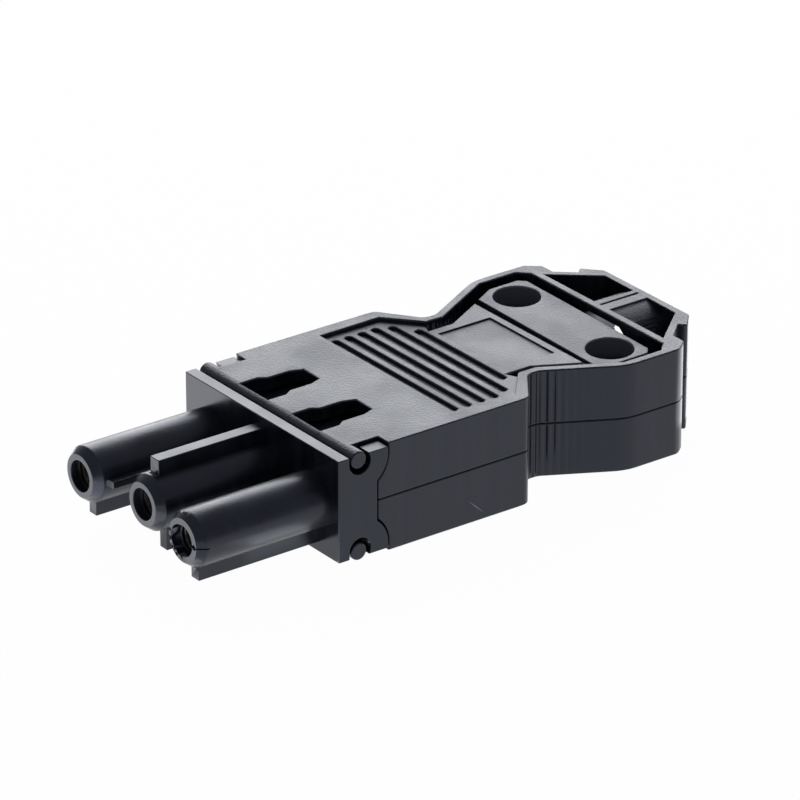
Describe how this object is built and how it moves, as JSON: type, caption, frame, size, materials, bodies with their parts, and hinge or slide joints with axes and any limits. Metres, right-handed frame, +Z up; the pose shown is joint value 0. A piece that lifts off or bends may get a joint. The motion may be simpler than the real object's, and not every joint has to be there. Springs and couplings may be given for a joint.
{
  "type": "installation connector",
  "caption": "Black socket-half installation connector with touch-proof sleeves, coding ribs, hinged half shells and a screwed strain relief.",
  "frame": {"origin": "Under the middle of the connector's length and width, on the plane that the lower shell rests on.", "axes": "+X runs across the poles to the right, +Y from the sleeves towards the cable entry, +Z up through the upper shell."},
  "size_m": [0.0294, 0.0726, 0.0133],
  "materials": {
    "carrier_black": "satin moulded polyamide",
    "shell_black": "fine textured moulded polyamide",
    "contact_brass": "drawn",
    "spring_steel": "rolled",
    "plated_steel": "zinc plated"
  },
  "bodies": {
    "carrier": {"contact_carrier": "carrier_black", "socket_contact_left": "contact_brass", "socket_contact_centre": "contact_brass", "socket_contact_right": "contact_brass", "contact_spring_left": "spring_steel", "contact_spring_centre": "spring_steel", "contact_spring_right": "spring_steel", "terminal_cage_left": "plated_steel", "terminal_cage_centre": "plated_steel", "terminal_cage_right": "plated_steel", "wire_guard_left": "spring_steel", "wire_guard_centre": "spring_steel", "wire_guard_right": "spring_steel", "terminal_screw_left": "plated_steel", "terminal_screw_centre": "plated_steel", "terminal_screw_right": "plated_steel"},
    "upper": {"upper_shell": "shell_black", "housing_screw_left": "plated_steel", "housing_screw_right": "plated_steel"},
    "lower": {"lower_shell": "shell_black"}
  },
  "joints": [
    {"name": "upper_shell_hinge", "type": "hinge", "parent": "carrier", "child": "upper", "pos_m": [0, -0.01585, 0.01225], "axis": [1, 0, 0], "range_deg": [0, 70]},
    {"name": "lower_shell_hinge", "type": "hinge", "parent": "carrier", "child": "lower", "pos_m": [0, -0.01585, 0.00105], "axis": [-1, 0, 0], "range_deg": [0, 70]}
  ]
}
